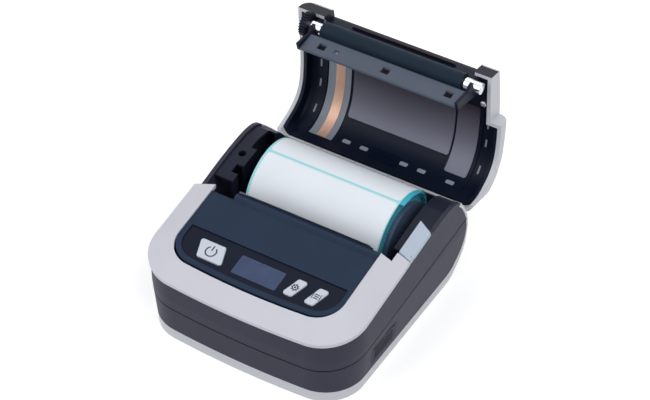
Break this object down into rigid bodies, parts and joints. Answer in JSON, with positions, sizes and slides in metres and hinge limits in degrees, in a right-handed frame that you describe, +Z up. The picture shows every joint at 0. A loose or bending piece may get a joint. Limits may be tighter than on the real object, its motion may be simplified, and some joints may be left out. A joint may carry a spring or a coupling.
{
  "type": "portable receipt printer",
  "caption": "Portable receipt and label printer with a clamshell lid standing open, a label roll in its bay, a sloping key panel and a platen roller in the lid.",
  "frame": {"origin": "centre of the resting plane of the body, between the feet", "axes": "+X to the right seen from the key panel, +Y back towards the hinge, +Z up"},
  "size_m": [0.1188, 0.1651, 0.1008],
  "materials": {
    "light_plastic": "fine satin moulding, light grey",
    "dark_plastic": "fine matte moulding, dark purple-grey",
    "slate_plastic": "fine matte moulding, slate",
    "black_plastic": "smooth near-black moulding",
    "liner_plastic": "matte inner moulding",
    "bay_plastic": "matte dark blue-grey moulding",
    "bracket_plastic": "matte mid-grey moulding",
    "screen_lens": "clear dark lens",
    "key_rubber": "soft matte key, light grey",
    "soft_rubber": "matte rubber",
    "platen_rubber": "fine ground rubber",
    "bright_steel": "polished steel",
    "sheet_steel": "brushed sheet",
    "head_ceramic": "glazed print head",
    "sink_aluminium": "extruded fins",
    "gear_plastic": "moulded gear",
    "pinion_brass": "cut brass",
    "motor_metal": "drawn steel can",
    "label_paper": "smooth label stock on pale liner",
    "core_card": "wound card",
    "strip_plastic": "smooth grey strip",
    "flex_copper": "copper flex",
    "board_green": "coated board",
    "battery_plastic": "matte case"
  },
  "bodies": {
    "base": {"base_tray": "light_plastic", "rubber_feet": "soft_rubber", "lower_housing": "dark_plastic", "upper_housing": "dark_plastic", "front_frame": "light_plastic", "fascia": "black_plastic", "display_window": "screen_lens", "top_panel": "slate_plastic", "tear_bar": "sheet_steel", "lever_pin": "bright_steel", "hinge_pin": "bright_steel", "mechanism_frame": "sheet_steel", "print_head": "head_ceramic", "heat_sink": "sink_aluminium", "head_spring": "sheet_steel", "feed_motor": "motor_metal", "paper_bay": "bay_plastic", "main_board": "board_green", "usb_port": "bright_steel", "power_port": "black_plastic", "key_board": "board_green", "display_module": "black_plastic", "battery_pack": "battery_plastic"},
    "lid": {"lid_shell": "light_plastic", "lid_liner": "liner_plastic", "left_bush": "bright_steel", "right_bush": "bright_steel", "sensor_bracket": "bracket_plastic", "sensor_strip": "strip_plastic", "sensor_flex": "flex_copper"},
    "platen": {"platen_roller": "platen_rubber", "platen_shaft": "bright_steel", "platen_gear": "gear_plastic"},
    "lever": {"release_lever": "light_plastic"},
    "power_key": {"power_button": "key_rubber"},
    "menu_key": {"menu_button": "key_rubber"},
    "feed_key": {"feed_button": "key_rubber"},
    "roll": {"label_roll": "label_paper", "roll_core": "core_card"},
    "left_guide": {"left_guide": "bay_plastic"},
    "right_guide": {"right_guide": "bay_plastic"},
    "guide_pinion": {"guide_pinion": "gear_plastic"},
    "drive_gear": {"drive_gear": "gear_plastic"},
    "idler_gear": {"idler_gear": "gear_plastic"},
    "motor_pinion": {"motor_pinion": "pinion_brass"},
    "port_cover": {"port_cover": "soft_rubber"},
    "battery_latch": {"battery_latch": "battery_plastic"}
  },
  "joints": [
    {"name": "lid_hinge", "type": "hinge", "parent": "base", "child": "lid", "pos_m": [0, 0.06525, 0.0315], "axis": [1, 0, 0], "range_deg": [0, 98]},
    {"name": "platen_spin", "type": "hinge", "parent": "lid", "child": "platen", "pos_m": [0, 0.0852, 0.09439], "axis": [1, 0, 0], "continuous": true},
    {"name": "release_lever_lift", "type": "hinge", "parent": "base", "child": "lever", "pos_m": [0.056, 0.00365, 0.05096], "axis": [1, 0, 0], "range_deg": [0, 10], "stiffness_Nm_per_rad": 0.05},
    {"name": "power_button_press", "type": "slide", "parent": "base", "child": "power_key", "axis": [0, 0.1771, -0.9842], "range_m": [0, 0.0006], "stiffness_N_per_m": 300},
    {"name": "menu_button_press", "type": "slide", "parent": "base", "child": "menu_key", "axis": [0, 0.1771, -0.9842], "range_m": [0, 0.0006], "stiffness_N_per_m": 300},
    {"name": "feed_button_press", "type": "slide", "parent": "base", "child": "feed_key", "axis": [0, 0.1771, -0.9842], "range_m": [0, 0.0006], "stiffness_N_per_m": 300},
    {"name": "roll_spin", "type": "hinge", "parent": "base", "child": "roll", "pos_m": [0, 0.0305, 0.033], "axis": [1, 0, 0], "continuous": true},
    {"name": "left_guide_slide", "type": "slide", "parent": "base", "child": "left_guide", "axis": [-1, 0, 0], "range_m": [0, 0.004], "stiffness_N_per_m": 60},
    {"name": "right_guide_slide", "type": "slide", "parent": "base", "child": "right_guide", "axis": [1, 0, 0], "range_m": [0, 0.004]},
    {"name": "guide_pinion_spin", "type": "hinge", "parent": "base", "child": "guide_pinion", "pos_m": [0, 0.0305, 0.00375], "axis": [0, 0, 1], "range_deg": [-46, 0]},
    {"name": "drive_gear_spin", "type": "hinge", "parent": "base", "child": "drive_gear", "pos_m": [-0.05, -0.00937, 0.03502], "axis": [1, 0, 0], "continuous": true},
    {"name": "idler_gear_spin", "type": "hinge", "parent": "base", "child": "idler_gear", "pos_m": [-0.05, -0.01353, 0.0236], "axis": [1, 0, 0], "continuous": true},
    {"name": "motor_pinion_spin", "type": "hinge", "parent": "base", "child": "motor_pinion", "pos_m": [-0.05, -0.02268, 0.0236], "axis": [1, 0, 0], "continuous": true},
    {"name": "port_cover_swing", "type": "hinge", "parent": "base", "child": "port_cover", "pos_m": [0.05845, -0.03187, 0.01525], "axis": [0, 0, -1], "range_deg": [0, 110]},
    {"name": "battery_latch_slide", "type": "slide", "parent": "base", "child": "battery_latch", "axis": [0, 1, 0], "range_m": [0, 0.0025], "stiffness_N_per_m": 100}
  ],
  "couplings": [
    {"joint": "right_guide_slide", "follows": "left_guide_slide", "ratio": 1},
    {"joint": "guide_pinion_spin", "follows": "left_guide_slide", "rad_per_m": -198.41},
    {"joint": "idler_gear_spin", "follows": "drive_gear_spin", "ratio": -1},
    {"joint": "motor_pinion_spin", "follows": "drive_gear_spin", "ratio": 2}
  ]
}
